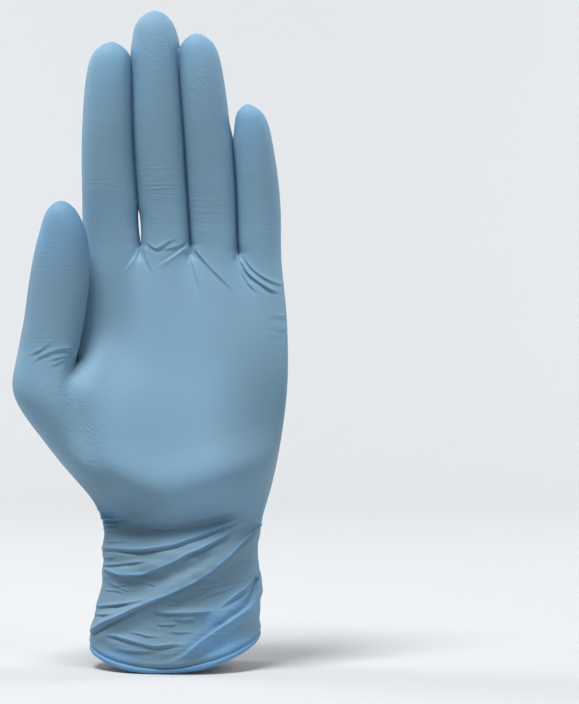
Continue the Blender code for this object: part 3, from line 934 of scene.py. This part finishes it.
finished_points = hem_move(folded_points, point_normals(film_mesh))
set_positions(film_mesh, finished_points)
print("open edge:", len(rim_ring), "points, largest move, mm:", largest_move(folded_points, finished_points))

# %% [markdown]
# ## Where the blue is clearer or greyer
# The film's own blue is clearer where it hangs free, at the fingertips and the top of the thumb. Along the
# gathers' crests a clearer blue is painted highlight, and on the cuff's lower right it is painted light. A
# greyer blue is the cuff's tone, and painted shade on the fingers, the thumb, the palm's sides and the heel.
# A painted image could say where, but it would need a flat map of the glove. Shares kept on the film's own
# points do it without one.

# %% Clearer and greyer blue: loose film, painted light and painted shade
# A soft oval patch as seen from the front, in mm, and the share at its middle
Patch = namedtuple("Patch", "across up half_width half_height share")

# The fingertips' clearer blue; then painted light on the cuff's lower right, where its panels lie in a
# fold's shade; then a clearer blue at the hem's left and under the heel
LOOSE_AND_LIT_PATCHES = (
    Patch(-23.5, 226, 9, 14, 0.25),
    Patch(-6.0, 238, 8, 8, 0.16),
    Patch(8.0, 229, 8, 10, 0.20),
    Patch(26.5, 200, 7, 14, 0.34),
    Patch(16.0, 17, 9, 5.0, 0.50),
    Patch(22.0, 23, 6, 5.0, 0.50),
    Patch(28.0, 26, 3.0, 10, 0.30),
    Patch(18.0, 8, 15, 5.5, 0.55),
    Patch(-24.0, 4.5, 9, 2.4, 0.60),
    Patch(-26.0, 54, 3, 5.0, 0.30),
)
# Painted shade: a greyer blue on the fingers, the little finger's side of the palm, the palm's left side and
# the heel
PAINTED_SHADE_PATCHES = (
    Patch(-24.0, 182, 9, 34, 0.65),
    Patch(-6.0, 190, 9, 36, 0.70),
    Patch(10.0, 184, 9, 34, 0.70),
    Patch(30.0, 168, 8, 24, 0.35),
    Patch(32.0, 88, 16, 30, 0.95),
    Patch(-23.0, 133, 9, 16, 0.80),
    Patch(-18.0, 58, 16, 8, 1.00),
    Patch(-30.0, 62, 14, 9, 1.00),
)
PATCH_EDGE = 1.5
# Painted shade over the whole thumb, and the clearer blue of the thumb's top
THUMB_PAINTED_SHADE = 0.70
THUMB_BLUE = 0.34
THUMB_BLUE_FROM = (138, 156)
# Painted highlight: a clearer blue along each crest, just above its line, and its width on the front and the
# back
CREST_HIGHLIGHT = 0.46
CREST_OFF = 0.30
CREST_HALF, BACK_CREST_HALF = 0.45, 0.60
CRINKLE_TOP = (48, 60)
print("patches:", len(LOOSE_AND_LIT_PATCHES), "loose,", len(PAINTED_SHADE_PATCHES), "cuff_tone_and_painted_shade")


# %% Shares kept on the film
def patches_share(patches, across, up):
    """The largest share of the patches at each place."""
    share = np.zeros(len(across))
    for patch in patches:
        far = ((across - patch.across) / patch.half_width) ** 2 + ((up - patch.up) / patch.half_height) ** 2
        share = np.maximum(share, patch.share * np.exp(-(far**PATCH_EDGE)))
    return share


def crest_highlight_share(folds, half_width, facing):
    """Painted highlight: the share of clearer blue along the folds' crests."""
    blue = np.zeros(len(across))
    for fold in folds:
        off, share, _ = off_line(across, up, fold.points)
        crest = np.exp(-(((off - CREST_OFF) / half_width) ** 2)) * end_fade(share, fold) * facing
        blue = np.maximum(blue, CREST_HIGHLIGHT * crest * min(fold.rise, 1.0))
    return blue


def keep_share(name, values):
    """Keeps a share from 0 to 1 on each of the film's points, for the finish to read."""
    attribute = film_mesh.attributes.new(name, "FLOAT", "POINT")
    attribute.data.foreach_set("value", np.clip(values, 0, 1).astype(np.float32))
    print(name, "mean share:", round(float(np.mean(values)), 3))


on_thumb = thumb_share(gathered_points)
on_cuff = 1 - ease(up, *CRINKLE_TOP)
# The clearer blue: the film's own at the fingertips and the thumb's top, painted highlight along the crests,
# painted light on the cuff's lower right
loose_and_lit_parts = [
    patches_share(LOOSE_AND_LIT_PATCHES, across, up) * (1 - on_thumb),
    THUMB_BLUE * on_thumb * ease(up, *THUMB_BLUE_FROM),
    crest_highlight_share(CUFF_FOLDS, CREST_HALF, facing_front),
    crest_highlight_share(BACK_FOLDS, BACK_CREST_HALF, facing_back),
]
# The greyer blue: the cuff's own tone, and painted shade on the fingers, the thumb, the palm and the heel
cuff_tone_and_shade_parts = [on_cuff, patches_share(PAINTED_SHADE_PATCHES, across, up) * facing_front, THUMB_PAINTED_SHADE * on_thumb]
keep_share("loose_and_painted_light", np.maximum.reduce(loose_and_lit_parts))
keep_share("cuff_tone_and_painted_shade", np.maximum.reduce(cuff_tone_and_shade_parts))

# %% [markdown]
# ## Marks in the film
# A worn film isn't plain. It has fine cross lines at the finger joints, it is pebbled like soft leather
# on the fingertips and the thumb's ball, and the loose cuff is finely crinkled. Lifted as geometry, marks
# this fine would need millions of faces, so three more shares tell the finish where its relief goes.

# %% Marks
LINE_PATCHES = (
    Patch(-25.0, 195, 10, 6.0, 0.9),
    Patch(-24.0, 174, 10, 7.0, 0.6),
    Patch(-5.0, 176, 9, 8.0, 0.9),
    Patch(-4.0, 164, 9, 4.0, 0.5),
    Patch(11.0, 169, 9, 9.0, 1.0),
    Patch(13.0, 158, 9, 4.0, 0.8),
    Patch(9.0, 197, 8, 5.0, 0.5),
    Patch(31.0, 178, 8, 4.0, 0.7),
    Patch(33.0, 156, 8, 6.0, 0.9),
    Patch(-44.0, 148, 10, 8.0, 0.6),
    Patch(-48.0, 116, 11, 6.0, 0.6),
    Patch(38.0, 122, 6, 8.0, 0.7),
)
BACK_LINE_PATCHES = (
    Patch(-24, 178, 9, 6, 0.8),
    Patch(-6, 187, 9, 6, 0.8),
    Patch(11, 180, 9, 6, 0.8),
    Patch(31, 165, 8, 5, 0.7),
    Patch(-24, 201, 8, 4, 0.5),
    Patch(-7, 212, 8, 4, 0.5),
    Patch(9, 204, 8, 4, 0.5),
    Patch(29, 184, 7, 4, 0.5),
)
PEBBLE_PATCHES = (
    Patch(-7.5, 222, 8, 14, 0.9),
    Patch(10.0, 210, 7, 12, 0.9),
    Patch(-22.0, 214, 7, 10, 0.3),
    Patch(-44.0, 96, 14, 14, 1.0),
    Patch(-32.0, 80, 14, 16, 1.0),
    Patch(-12.0, 74, 16, 12, 0.5),
    Patch(24.0, 74, 10, 12, 0.4),
)

front_lines = patches_share(LINE_PATCHES, across, up) * facing_front
back_lines = patches_share(BACK_LINE_PATCHES, across, up) * (1 - facing_front)
keep_share("cross_lines", front_lines + back_lines)
keep_share("pebble", patches_share(PEBBLE_PATCHES, across, up) * facing_front)
keep_share("crinkle", on_cuff)

# %% [markdown]
# ## The film's inner face
# The inner face shows only at the mouth. A solidify modifier would double every fine face for nothing, so
# the inner face is made from the surface as it was before the rows were cut, a quarter of a millimetre
# inside the outer one. Behind the gathers it lies deeper, clear of their valleys.

# %% Film
FILM = 0.25 * MM
FOLD_ROOM = 2.2 * MM
ROOM_START, ROOM_FULL = 3 * MM, 8 * MM
ROOM_FACING = (-0.4, 0.0)


def inner_face(mesh):
    """Sets the mesh's points inside the outer face and turns its faces inwards."""
    places, outward = profile_points[: len(mesh.vertices)], profile_normals[: len(mesh.vertices)]
    room = FOLD_ROOM * ease(-outward[:, 1], *ROOM_FACING) * ease(places[:, 2], ROOM_START, ROOM_FULL)
    set_positions(mesh, hem_move(places, outward) - outward * (FILM + room)[:, None])
    mesh.flip_normals()


def ride_on_root(item, node):
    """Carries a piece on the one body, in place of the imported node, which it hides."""
    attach(item, "root")
    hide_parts(node)


inner_face(inner_mesh)
glove_film = new_object("dipped_film", film_mesh)
both = bmesh.new()
both.from_mesh(film_mesh)
both.from_mesh(inner_mesh)
both.to_mesh(film_mesh)
both.free()
film_mesh.polygons.foreach_set("use_smooth", [True] * len(film_mesh.polygons))
film_mesh.update()
ride_on_root(glove_film, "glove_film")
print("film:", len(film_mesh.polygons), "faces")

# %% [markdown]
# ## The rolled bead
# The cuff ends in a thin roll of the same film, which keeps it from tearing. A curve with a round bevel
# could make it, but the curve's own twist shows on a closed loop. So a ring of points is set up square to
# the film's edge at each step, and its size changes a little on the way round, as a hand-rolled edge does.

# %% Sizes of the bead
BEAD_RADIUS = 1.05 * MM
BEAD_DROP = 0.55 * MM
BEAD_STEPS = 360
BEAD_SIDES = 14
# The uneven roll: waves round the mouth, where they start, and their share of the radius
Wave = namedtuple("Wave", "count start share")
BEAD_WAVES = (Wave(3, 0.8, 0.10), Wave(7, 2.0, 0.06), Wave(19, 0.0, 0.04))
print("bead thickness, mm:", round(2 * BEAD_RADIUS / MM, 2))


# %% Sweep the bead
def even_loop(points, count):
    """The closed line through points, as count places at even distances."""
    closed = np.vstack([points, points[:1]])
    runs = np.concatenate([[0], np.cumsum(np.linalg.norm(closed[1:] - closed[:-1], axis=1))])
    marks = np.linspace(0, runs[-1], count, endpoint=False)
    return np.stack([np.interp(marks, runs, closed[:, axis]) for axis in range(3)], axis=1)


def sweep(name, middle, radii, sides):
    """A closed tube round a closed line."""
    ahead = np.roll(middle, -1, axis=0) - np.roll(middle, 1, axis=0)
    ahead /= np.linalg.norm(ahead, axis=1)[:, None]
    out = np.stack([ahead[:, 1], -ahead[:, 0], np.zeros(len(middle))], axis=1)
    out /= np.linalg.norm(out, axis=1)[:, None]
    rise = np.cross(out, ahead)
    angles = (np.arange(sides) * math.tau / sides)[None, :, None]
    spokes = out[:, None] * np.cos(angles) + rise[:, None] * np.sin(angles)
    rings = middle[:, None] + radii[:, None, None] * spokes
    faces = []
    for i in range(len(middle)):
        for j in range(sides):
            k, m = (i + 1) % len(middle), (j + 1) % sides
            faces.append((i * sides + j, k * sides + j, k * sides + m, i * sides + m))
    mesh = bpy.data.meshes.new(name)
    mesh.from_pydata(rings.reshape(-1, 3).tolist(), [], faces)
    mesh.polygons.foreach_set("use_smooth", [True] * len(faces))
    return mesh


turn = np.linspace(0, math.tau, BEAD_STEPS, endpoint=False)
swing = sum(wave.share * np.sin(wave.count * turn + wave.start) for wave in BEAD_WAVES)
bead_radii = BEAD_RADIUS * (1 + swing)
bead_middle = even_loop(finished_points[rim_ring], BEAD_STEPS) - np.array([0, 0, BEAD_DROP])
rolled_bead = new_object("rolled_bead_edge", sweep("rolled_bead_edge", bead_middle, bead_radii, BEAD_SIDES))
ride_on_root(rolled_bead, "rolled_bead")
print("bead lowest, mm:", round(float((bead_middle[:, 2] - bead_radii).min()) / MM, 2))

# %% [markdown]
# ## Colours and nodes
# Colours are noted as they look on a screen, and one function turns them into linear light. One function
# adds any node with its settings and links, so a finish reads as a list of what it is made of.

# %% Colours and nodes
def screen_colour(code):
    """Turns a hex colour as seen on a screen into linear light."""
    shares = [int(code[i:i + 2], 16) / 255 for i in (1, 3, 5)]
    return tuple(c / 12.92 if c <= 0.04045 else ((c + 0.055) / 1.055) ** 2.4 for c in shares) + (1.0,)


def add_node(tree, kind, settings=None, links=None):
    """Adds a shader node, sets its fields and sockets, and joins its inputs to other nodes' outputs. A
    socket goes by its name, or by its number where several share a name."""
    node = tree.nodes.new(kind)
    for name, value in (settings or {}).items():
        if isinstance(name, int) or name in node.inputs:
            node.inputs[name].default_value = value
        else:
            setattr(node, name, value)
    for name, source in (links or {}).items():
        tree.links.new(source, node.inputs[name])
    return node


print("mid grey in linear light:", round(screen_colour("#808080")[0], 3))

# %% [markdown]
# ## Dipped nitrile rubber
# The glove is nitrile rubber, made by dipping a porcelain form into liquid latex and curing what clings
# to it. The film comes off with a satin skin: a soft, broad sheen over an even blue, with no metal in it
# and no clear coat. Its index of refraction is about 1.52. An image could be wrapped round it, but the
# real marks are all grains of some size, so noise stretched to those sizes gives them at any distance.

# %% Values of nitrile
NITRILE_IOR = 1.52
# A cured dipped film scatters light widely: rough, and weaker in its gloss than a moulded rubber
NITRILE_ROUGHNESS = 0.60
NITRILE_SPECULAR = 0.25
RELIEF = 0.24 * MM
METRE_TO_MM = 1000.0

# The size of a grain's cells across, deep and up, in mm; its detail; the share that says where it is, or
# none where it is everywhere; and its part of the relief
Grain = namedtuple("Grain", "size detail where depth")
# The dipped skin's own grain is about 0.1 mm, too fine to show, so it is drawn as coarse as 1.6 mm
DIPPED_GRAIN = Grain((1.6, 1.6, 1.2), 2, None, 0.14)
print("dipped grain, mm:", DIPPED_GRAIN.size)


# %% Satin nitrile
def grain_pattern(tree, grain):
    """Noise whose cells have the grain's size."""
    place = add_node(tree, "ShaderNodeTexCoord").outputs["Object"]
    scale = tuple(METRE_TO_MM / size for size in grain.size)
    stretch = add_node(tree, "ShaderNodeMapping", {"Scale": scale}, {"Vector": place})
    settings = {"Scale": 1.0, "Detail": grain.detail, "Roughness": 0.5}
    return add_node(tree, "ShaderNodeTexNoise", settings, {"Vector": stretch.outputs[0]}).outputs["Fac"]


def satin_nitrile(name, grains):
    """Dipped nitrile rubber with the relief of these grains."""
    finish = bpy.data.materials.new(name)
    finish.use_nodes = True
    tree = finish.node_tree
    shader = tree.nodes["Principled BSDF"]
    shader.inputs["Roughness"].default_value = NITRILE_ROUGHNESS
    shader.inputs["IOR"].default_value = NITRILE_IOR
    shader.inputs["Specular IOR Level"].default_value = NITRILE_SPECULAR
    total = {}
    for grain in grains:
        depth = {"operation": "MULTIPLY", 1: grain.depth}
        height = add_node(tree, "ShaderNodeMath", depth, {0: grain_pattern(tree, grain)}).outputs[0]
        adding = {"operation": "MULTIPLY_ADD", 1: 1.0, 2: 0.0}
        links = {0: height, **total}
        if grain.where:
            share = add_node(tree, "ShaderNodeAttribute", {"attribute_name": grain.where})
            links[1] = share.outputs["Fac"]
        total = {2: add_node(tree, "ShaderNodeMath", adding, links).outputs[0]}
    bump = add_node(tree, "ShaderNodeBump", {"Strength": 1.0, "Distance": RELIEF}, {"Height": total[2]})
    tree.links.new(bump.outputs["Normal"], shader.inputs["Normal"])
    print(name + ":", len(tree.nodes), "nodes")
    return finish


# %% [markdown]
# ## The film's finish
# Over the dipped grain the film has its marks. The cross lines at the joints are about 0.75 mm apart, the
# pebbles about 0.9 mm wide, and the loose cuff is crinkled in bands about 2 mm high. The blue is greyer
# on the cuff and where shade is painted, and clearer at the fingertips, along the crests as painted
# highlight and on the cuff's lower right as painted light, with a faint cloud over both, since a dipped
# film is never quite even in thickness. One flat blue would be simpler, but it looks like painted plaster.

# %% Dipped film
FILM_GRAINS = (
    Grain((9, 9, 0.75), 2, "cross_lines", 1.0),
    Grain((0.9, 0.9, 0.9), 1, "pebble", 1.0),
    Grain((11, 11, 2.2), 3, "crinkle", 1.7),
    DIPPED_GRAIN,
)
CLOUD = Grain((14, 14, 14), 3, None, 0.5)
# The base blue; a greyer blue for the cuff and for painted shade; a clearer blue for loose film, painted
# highlight and painted light
TIGHT_BLUE = "#7a9fb7"
SHADE_AND_CUFF_BLUE = "#6c8ca0"
LOOSE_AND_LIT_BLUE = "#66a0d2"

nitrile_film = satin_nitrile("dipped nitrile film", FILM_GRAINS)
tree = nitrile_film.node_tree
cloud_share = {"operation": "MULTIPLY_ADD", 1: CLOUD.depth, 2: -CLOUD.depth / 2}
cloud = add_node(tree, "ShaderNodeMath", cloud_share, {0: grain_pattern(tree, CLOUD)})
loose_and_painted_light = add_node(tree, "ShaderNodeAttribute", {"attribute_name": "loose_and_painted_light"})
cuff_tone_and_painted_shade = add_node(tree, "ShaderNodeAttribute", {"attribute_name": "cuff_tone_and_painted_shade"})
clouded = {0: loose_and_painted_light.outputs["Fac"], 1: cloud.outputs[0]}
share = add_node(tree, "ShaderNodeMath", {"operation": "ADD"}, clouded)
colour_mix = {"data_type": "RGBA", "clamp_factor": True}
# The greyer blue mixes in the cuff's tone and painted shade; the clearer blue, loose film, painted highlight
# and painted light
base_and_shade_blues = {6: screen_colour(TIGHT_BLUE), 7: screen_colour(SHADE_AND_CUFF_BLUE)}
shaded_base_blue = add_node(tree, "ShaderNodeMix", {**colour_mix, **base_and_shade_blues}, {0: cuff_tone_and_painted_shade.outputs["Fac"]})
lit_blue_mix = {**colour_mix, 7: screen_colour(LOOSE_AND_LIT_BLUE)}
film_blue = add_node(tree, "ShaderNodeMix", lit_blue_mix, {0: share.outputs[0], 6: shaded_base_blue.outputs[2]})
tree.links.new(film_blue.outputs[2], tree.nodes["Principled BSDF"].inputs["Base Color"])
glove_film.data.materials.append(nitrile_film)
print("film's nodes with its blue:", len(tree.nodes))

# %% [markdown]
# ## The bead's finish
# Rolled up, many layers of the same film lie over each other, so the bead is a deeper, clearer blue. It
# isn't stretched over anything and shows no marks, only the dipped grain. It could share the film's
# finish, but the film's blue changes from place to place, and the bead's is one even blue.

# %% Rolled film
BEAD_BLUE = "#6293bc"

nitrile_bead = satin_nitrile("rolled nitrile film", (DIPPED_GRAIN,))
nitrile_bead.node_tree.nodes["Principled BSDF"].inputs["Base Color"].default_value = screen_colour(BEAD_BLUE)
rolled_bead.data.materials.append(nitrile_bead)
print("pieces with a finish:", [item.name for item in (glove_film, rolled_bead)])

# %% [markdown]
# ## The floor
# A studio floor is a roll of pale paper that bends up behind the object, so no horizon shows. A plane and
# a wall would meet in a line. Here one profile, drawn across and swept sideways, makes both and the bend.

# %% Floor
PAPER_WHITE = "#c3c5c7"
# Uncoated paper has almost no gloss
PAPER_ROUGHNESS = 0.9
FLOOR_HALF_WIDTH = 2.5
FLOOR_FRONT = -2.0
FLOOR_BEND = 0.9
FLOOR_HEIGHT = 3.0
BEND_RADIUS = 0.5
BEND_STEPS = 12

profile = [(FLOOR_FRONT, 0.0)]
for step in range(BEND_STEPS + 1):
    angle = step / BEND_STEPS * math.pi / 2
    profile.append((FLOOR_BEND + BEND_RADIUS * math.sin(angle), BEND_RADIUS * (1 - math.cos(angle))))
profile.append((FLOOR_BEND + BEND_RADIUS, FLOOR_HEIGHT))
corners = [(side, y, z) for y, z in profile for side in (-FLOOR_HALF_WIDTH, FLOOR_HALF_WIDTH)]
panels = [(2 * i, 2 * i + 1, 2 * i + 3, 2 * i + 2) for i in range(len(profile) - 1)]
floor_mesh = bpy.data.meshes.new("studio_floor")
floor_mesh.from_pydata(corners, [], panels)
floor_mesh.polygons.foreach_set("use_smooth", [True] * len(panels))
floor = new_object("studio_floor", floor_mesh)
paper = bpy.data.materials.new("uncoated paper")
paper.use_nodes = True
paper_shader = paper.node_tree.nodes["Principled BSDF"]
paper_shader.inputs["Base Color"].default_value = screen_colour(PAPER_WHITE)
paper_shader.inputs["Roughness"].default_value = PAPER_ROUGHNESS
floor.data.materials.append(paper)
print("floor:", len(panels), "panels")

# %% [markdown]
# ## The light
# The glove is lit by one large soft light from above the viewer, which draws the folds, and a weak one
# from the right, which keeps their shades open. Two more light only the paper behind. A sky image could
# light it all at once, but then the folds' shades couldn't be set apart from the paper.

# %% Light
Lamp = namedtuple("Lamp", "name place aim size watts")
GLOVE_MIDDLE = (0.0, 0.0, 0.12)
PAPER_MIDDLE = (0.0, 1.4, 0.5)
LAMPS = (
    Lamp("key", (-0.30, -0.48, 1.40), GLOVE_MIDDLE, 0.5, 24),
    Lamp("fill", (0.9, -0.9, 0.9), GLOVE_MIDDLE, 0.6, 4.4),
    Lamp("back_left", (-1.2, 0.6, 0.9), PAPER_MIDDLE, 1.0, 16),
    Lamp("back_right", (1.2, 0.6, 0.9), PAPER_MIDDLE, 1.0, 16),
)

for lamp in LAMPS:
    light = bpy.data.lights.new(lamp.name, "AREA")
    light.size = lamp.size
    light.energy = lamp.watts
    item = bpy.data.objects.new(lamp.name, light)
    item.location = lamp.place
    item.rotation_euler = (Vector(lamp.aim) - Vector(lamp.place)).to_track_quat("-Z", "Y").to_euler()
    bpy.context.scene.collection.objects.link(item)
print("lights:", len(LAMPS))

# %% [markdown]
# ## The surround
# Beyond the paper the room is seen pale, as a white studio is, but lights the glove only a little. A
# plain bright world would flatten every fold.

# %% Surround
WHITE = (1.0, 1.0, 1.0, 1.0)
SURROUND_LIGHT = 0.05
SURROUND_SEEN = 0.75

world = bpy.data.worlds.new("pale surround")
world.use_nodes = True
tree = world.node_tree
lighting = tree.nodes["Background"]
lighting.inputs["Color"].default_value = WHITE
lighting.inputs["Strength"].default_value = SURROUND_LIGHT
seen = add_node(tree, "ShaderNodeBackground", {"Color": WHITE, "Strength": SURROUND_SEEN})
path = add_node(tree, "ShaderNodeLightPath")
kinds = {0: path.outputs["Is Camera Ray"], 1: lighting.outputs[0], 2: seen.outputs[0]}
surround = add_node(tree, "ShaderNodeMixShader", None, kinds)
tree.links.new(surround.outputs[0], tree.nodes["World Output"].inputs["Surface"])
bpy.context.scene.world = world
bpy.context.scene.view_settings.view_transform = "Standard"
print("surround:", len(tree.nodes), "nodes")

# %% [markdown]
# ## The camera
# The camera stands at the eye that the folds were placed from, level and square to the glove, so each
# fold is seen where its table says. From 0.9 m a long lens shows the glove without leaning lines.

# %% Camera
FRAME_HEIGHT = 255.6 * MM
SENSOR = 36.0

lens = bpy.data.cameras.new("camera")
lens.sensor_width = SENSOR
lens.lens = SENSOR * -EYE[1] / FRAME_HEIGHT
camera = bpy.data.objects.new("camera", lens)
camera.location = EYE
camera.rotation_euler = (math.pi / 2, 0, 0)
bpy.context.scene.collection.objects.link(camera)
bpy.context.scene.camera = camera
print("lens, mm:", round(lens.lens, 1))

# %% [markdown]
# ## The outer face removed
# The outer face that the film was made from has done its work and is removed.

# %% Finish
bpy.data.objects.remove(coarse)
